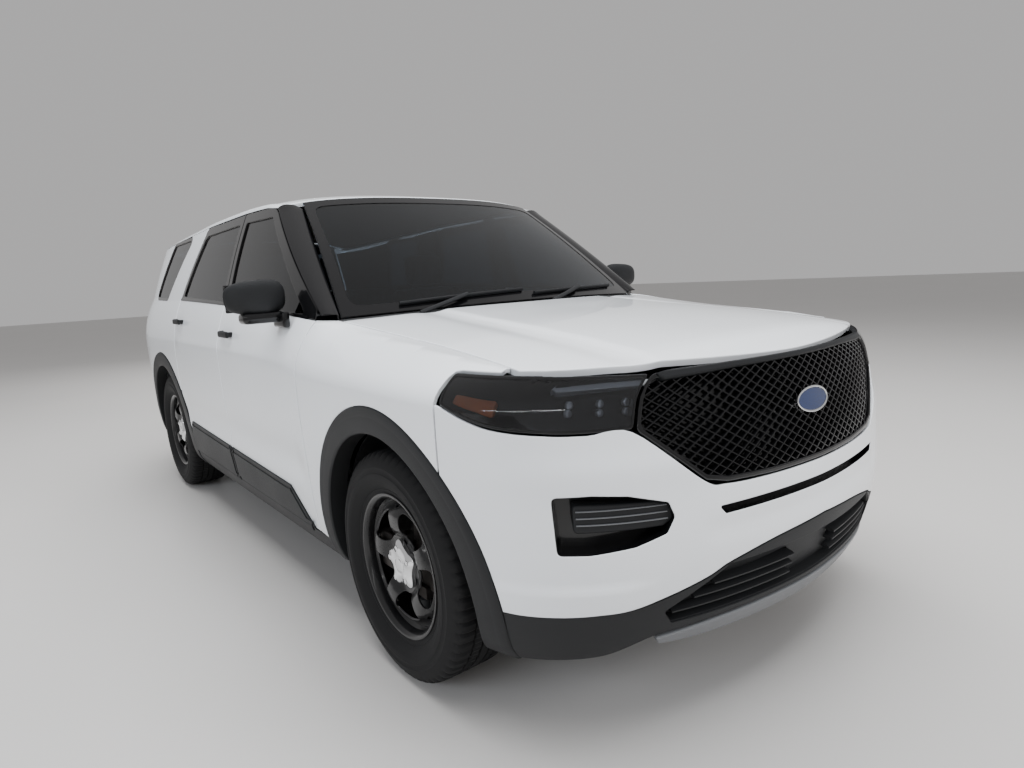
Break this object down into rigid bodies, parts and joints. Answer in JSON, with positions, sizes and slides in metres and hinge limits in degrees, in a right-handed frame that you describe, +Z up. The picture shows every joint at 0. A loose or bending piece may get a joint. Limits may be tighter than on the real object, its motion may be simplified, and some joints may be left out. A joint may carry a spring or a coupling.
{
  "type": "police patrol utility vehicle",
  "caption": "Large five-door utility patrol vehicle in white with dark cladding, steel wheels, opening doors, bonnet and liftgate, and steered front wheels",
  "frame": {"origin": "on the ground under the middle of the body", "axes": "-Y is the front of the car, +X its left side, +Z up"},
  "size_m": [2.2988, 5.051, 1.7554],
  "materials": {
    "body_paint": "gloss white paint",
    "dark_plastic": "grained charcoal plastic",
    "gloss_black": "gloss black plastic",
    "silver_plastic": "satin silver plastic",
    "tinted_glass": "privacy tint",
    "clear_glass": "green-blue tint",
    "smoked_lens": "smoked lens",
    "red_lens": "red lens",
    "black_steel": "gloss black paint",
    "tyre_rubber": "black rubber",
    "cabin_trim": "soft black trim",
    "seat_cloth": "black cloth",
    "structure_steel": "black electrocoat",
    "cast_metal": "cast iron",
    "engine_alloy": "cast alloy",
    "exhaust_steel": "stainless",
    "radiator_core": "black core"
  },
  "bodies": {
    "body": {"floor_pan": "structure_steel", "firewall": "structure_steel", "roof": "body_paint", "side_frames": "gloss_black", "quarter_left": "body_paint", "quarter_right": "body_paint", "fenders": "body_paint", "front_bumper": "body_paint", "front_valance": "dark_plastic", "skid_plate": "silver_plastic", "grilles": "gloss_black", "headlights": "smoked_lens", "arch_cladding": "dark_plastic", "rocker_cladding": "dark_plastic", "rear_bumper": "body_paint", "rear_valance": "dark_plastic", "tail_lights": "red_lens", "windshield": "clear_glass", "quarter_glass": "tinted_glass", "wipers": "dark_plastic", "dashboard": "cabin_trim", "front_seats": "seat_cloth", "rear_seat": "seat_cloth", "engine": "engine_alloy", "radiator": "radiator_core", "front_suspension": "structure_steel", "rear_suspension": "structure_steel", "exhaust": "exhaust_steel", "fuel_tank": "structure_steel", "wheel_liners": "dark_plastic"},
    "knuckle_left": {"knuckle_left": "cast_metal"},
    "knuckle_right": {"knuckle_right": "cast_metal"},
    "front_left_wheel": {"front_wheel_left": "black_steel", "front_tyre_left": "tyre_rubber"},
    "front_right_wheel": {"front_wheel_right": "black_steel", "front_tyre_right": "tyre_rubber"},
    "rear_left_wheel": {"rear_wheel_left": "black_steel", "rear_tyre_left": "tyre_rubber"},
    "rear_right_wheel": {"rear_wheel_right": "black_steel", "rear_tyre_right": "tyre_rubber"},
    "front_left_door": {"front_door_left": "body_paint", "front_door_glass_left": "clear_glass", "mirror_left": "dark_plastic"},
    "front_right_door": {"front_door_right": "body_paint", "front_door_glass_right": "clear_glass", "mirror_right": "dark_plastic"},
    "rear_left_door": {"rear_door_left": "body_paint", "rear_door_glass_left": "tinted_glass"},
    "rear_right_door": {"rear_door_right": "body_paint", "rear_door_glass_right": "tinted_glass"},
    "hood": {"hood": "body_paint"},
    "liftgate": {"liftgate": "body_paint", "liftgate_glass": "tinted_glass", "plate_bracket": "dark_plastic"},
    "fuel_door": {"fuel_door": "body_paint"},
    "steering_wheel": {"steering_wheel": "cabin_trim"}
  },
  "joints": [
    {"name": "steer_left", "type": "hinge", "parent": "body", "child": "knuckle_left", "pos_m": [0.85, -1.6, 0.3815], "axis": [0, 0, 1], "range_deg": [-34, 34]},
    {"name": "steer_right", "type": "hinge", "parent": "body", "child": "knuckle_right", "pos_m": [-0.85, -1.6, 0.3815], "axis": [0, 0, 1], "range_deg": [-34, 34]},
    {"name": "front_left_wheel_spin", "type": "hinge", "parent": "knuckle_left", "child": "front_left_wheel", "pos_m": [0.85, -1.6, 0.3815], "axis": [1, 0, 0], "continuous": true},
    {"name": "front_right_wheel_spin", "type": "hinge", "parent": "knuckle_right", "child": "front_right_wheel", "pos_m": [-0.85, -1.6, 0.3815], "axis": [1, 0, 0], "continuous": true},
    {"name": "rear_left_wheel_spin", "type": "hinge", "parent": "body", "child": "rear_left_wheel", "pos_m": [0.85, 1.425, 0.3815], "axis": [1, 0, 0], "continuous": true},
    {"name": "rear_right_wheel_spin", "type": "hinge", "parent": "body", "child": "rear_right_wheel", "pos_m": [-0.85, 1.425, 0.3815], "axis": [1, 0, 0], "continuous": true},
    {"name": "front_left_door_hinge", "type": "hinge", "parent": "body", "child": "front_left_door", "pos_m": [1.002, -0.997, 0.7], "axis": [0, 0, -1], "range_deg": [0, 68]},
    {"name": "front_right_door_hinge", "type": "hinge", "parent": "body", "child": "front_right_door", "pos_m": [-1.002, -0.997, 0.7], "axis": [0, 0, 1], "range_deg": [0, 68]},
    {"name": "rear_left_door_hinge", "type": "hinge", "parent": "body", "child": "rear_left_door", "pos_m": [1.002, 0.043, 0.7], "axis": [0, 0, -1], "range_deg": [0, 68]},
    {"name": "rear_right_door_hinge", "type": "hinge", "parent": "body", "child": "rear_right_door", "pos_m": [-1.002, 0.043, 0.7], "axis": [0, 0, 1], "range_deg": [0, 68]},
    {"name": "hood_hinge", "type": "hinge", "parent": "body", "child": "hood", "pos_m": [0, -1.112, 1.16], "axis": [-1, 0, 0], "range_deg": [0, 48]},
    {"name": "liftgate_hinge", "type": "hinge", "parent": "body", "child": "liftgate", "pos_m": [0, 2.093, 1.694], "axis": [1, 0, 0], "range_deg": [0, 82]},
    {"name": "fuel_door_hinge", "type": "hinge", "parent": "body", "child": "fuel_door", "pos_m": [1.001, 1.633, 1.067], "axis": [0, 0, -1], "range_deg": [0, 95]},
    {"name": "steering_wheel_turn", "type": "hinge", "parent": "body", "child": "steering_wheel", "pos_m": [0.37, -0.65, 0.985], "axis": [0, 0.9063, 0.4226], "range_deg": [-540, 540]}
  ],
  "couplings": [
    {"joint": "steer_right", "follows": "steer_left", "ratio": 1},
    {"joint": "steering_wheel_turn", "follows": "steer_left", "ratio": 15}
  ]
}
